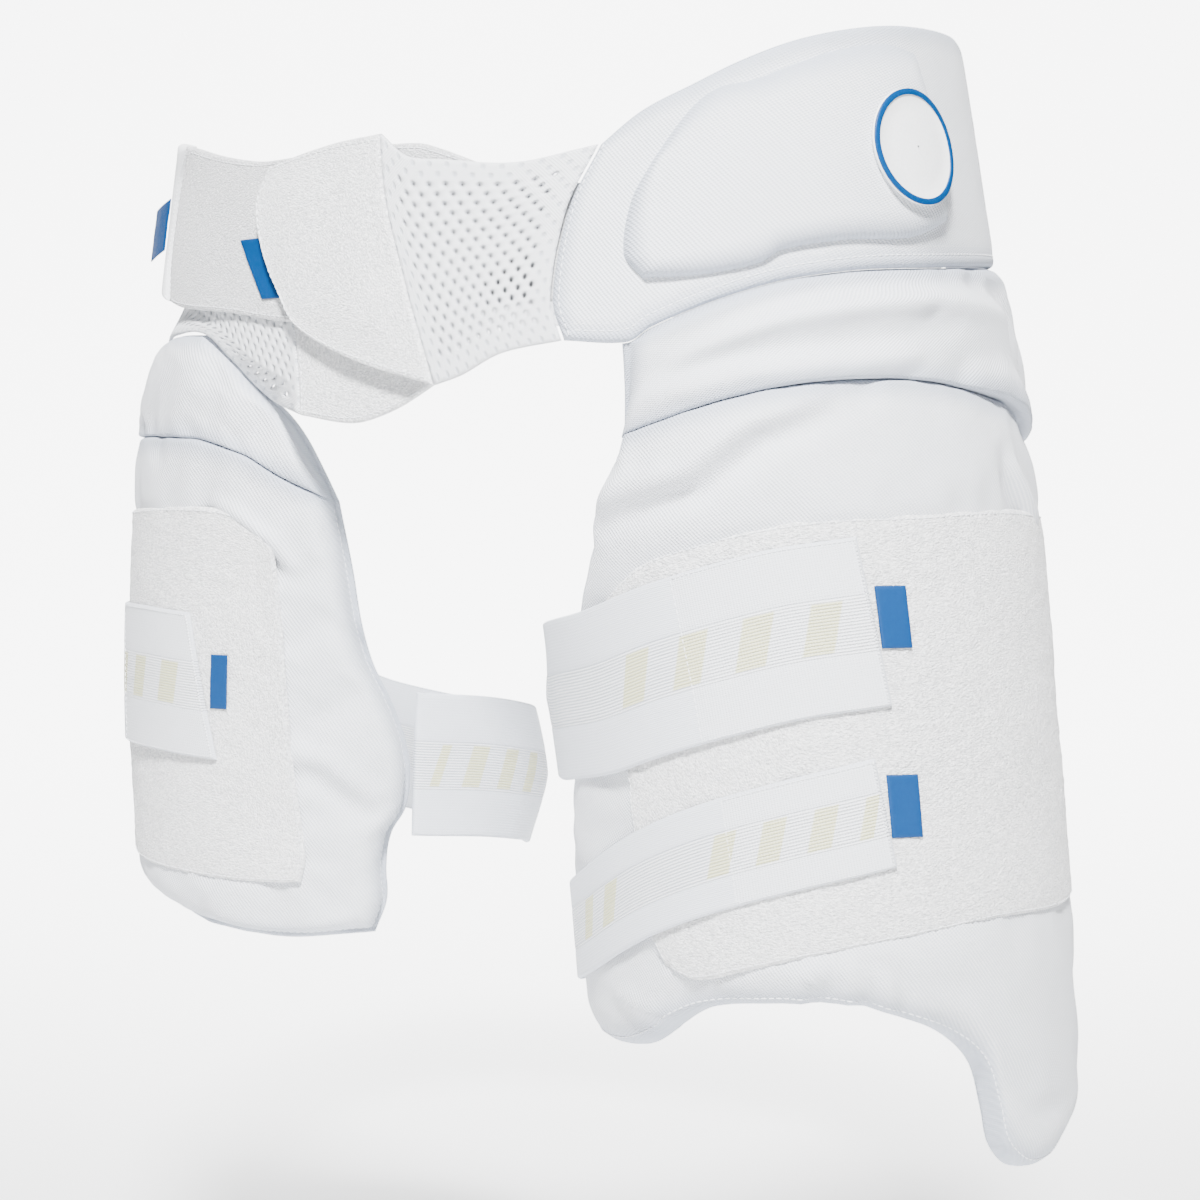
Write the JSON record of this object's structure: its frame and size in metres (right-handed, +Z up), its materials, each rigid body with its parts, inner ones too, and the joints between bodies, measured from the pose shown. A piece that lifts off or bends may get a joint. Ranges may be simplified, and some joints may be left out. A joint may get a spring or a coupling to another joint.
{
  "type": "cricket thigh guard",
  "caption": "Padded thigh and hip guard for both legs: moulded hip pad, two foam thigh pads with loop panels, mesh belt and elastic straps, shown as worn.",
  "frame": {"origin": "middle of the waist ring, at half the height of the belt", "axes": "+Z up along the wearer, -Y the wearer's front, +X the wearer's left, which is the lead leg with the hip pad"},
  "size_m": [0.502, 0.3019, 0.5065],
  "materials": {
    "cover_fabric": "white stretch knit with a fine diagonal weave over foam",
    "loop_fabric": "brushed loop fabric, warm white, fuzzy",
    "mesh_fabric": "white knitted mesh with open holes",
    "elastic_webbing": "ribbed white elastic webbing",
    "binding_tape": "plain woven binding tape",
    "label_fabric": "satin woven blue label",
    "badge_rubber": "white moulded rubber with a blue ring"
  },
  "bodies": {
    "root": {"hip_flange": "cover_fabric", "hip_cushion": "cover_fabric", "hip_badge": "badge_rubber", "lead_yoke": "cover_fabric", "lead_thigh_pad": "cover_fabric", "lead_loop_panel": "loop_fabric", "lead_strap_upper": "elastic_webbing", "lead_strap_lower": "elastic_webbing", "lead_strap_upper_label": "label_fabric", "lead_strap_lower_label": "label_fabric", "lead_edge_label": "label_fabric", "rear_yoke": "cover_fabric", "rear_thigh_pad": "cover_fabric", "rear_loop_panel": "loop_fabric", "rear_strap": "elastic_webbing", "rear_strap_label": "label_fabric", "belt_mesh": "mesh_fabric", "belt_flap": "loop_fabric", "belt_flap_label": "label_fabric", "inner_belt": "loop_fabric", "inner_belt_binding": "binding_tape", "inner_belt_label": "label_fabric", "rear_mesh": "mesh_fabric", "rear_tongue": "loop_fabric", "back_belt": "mesh_fabric"}
  },
  "joints": []
}
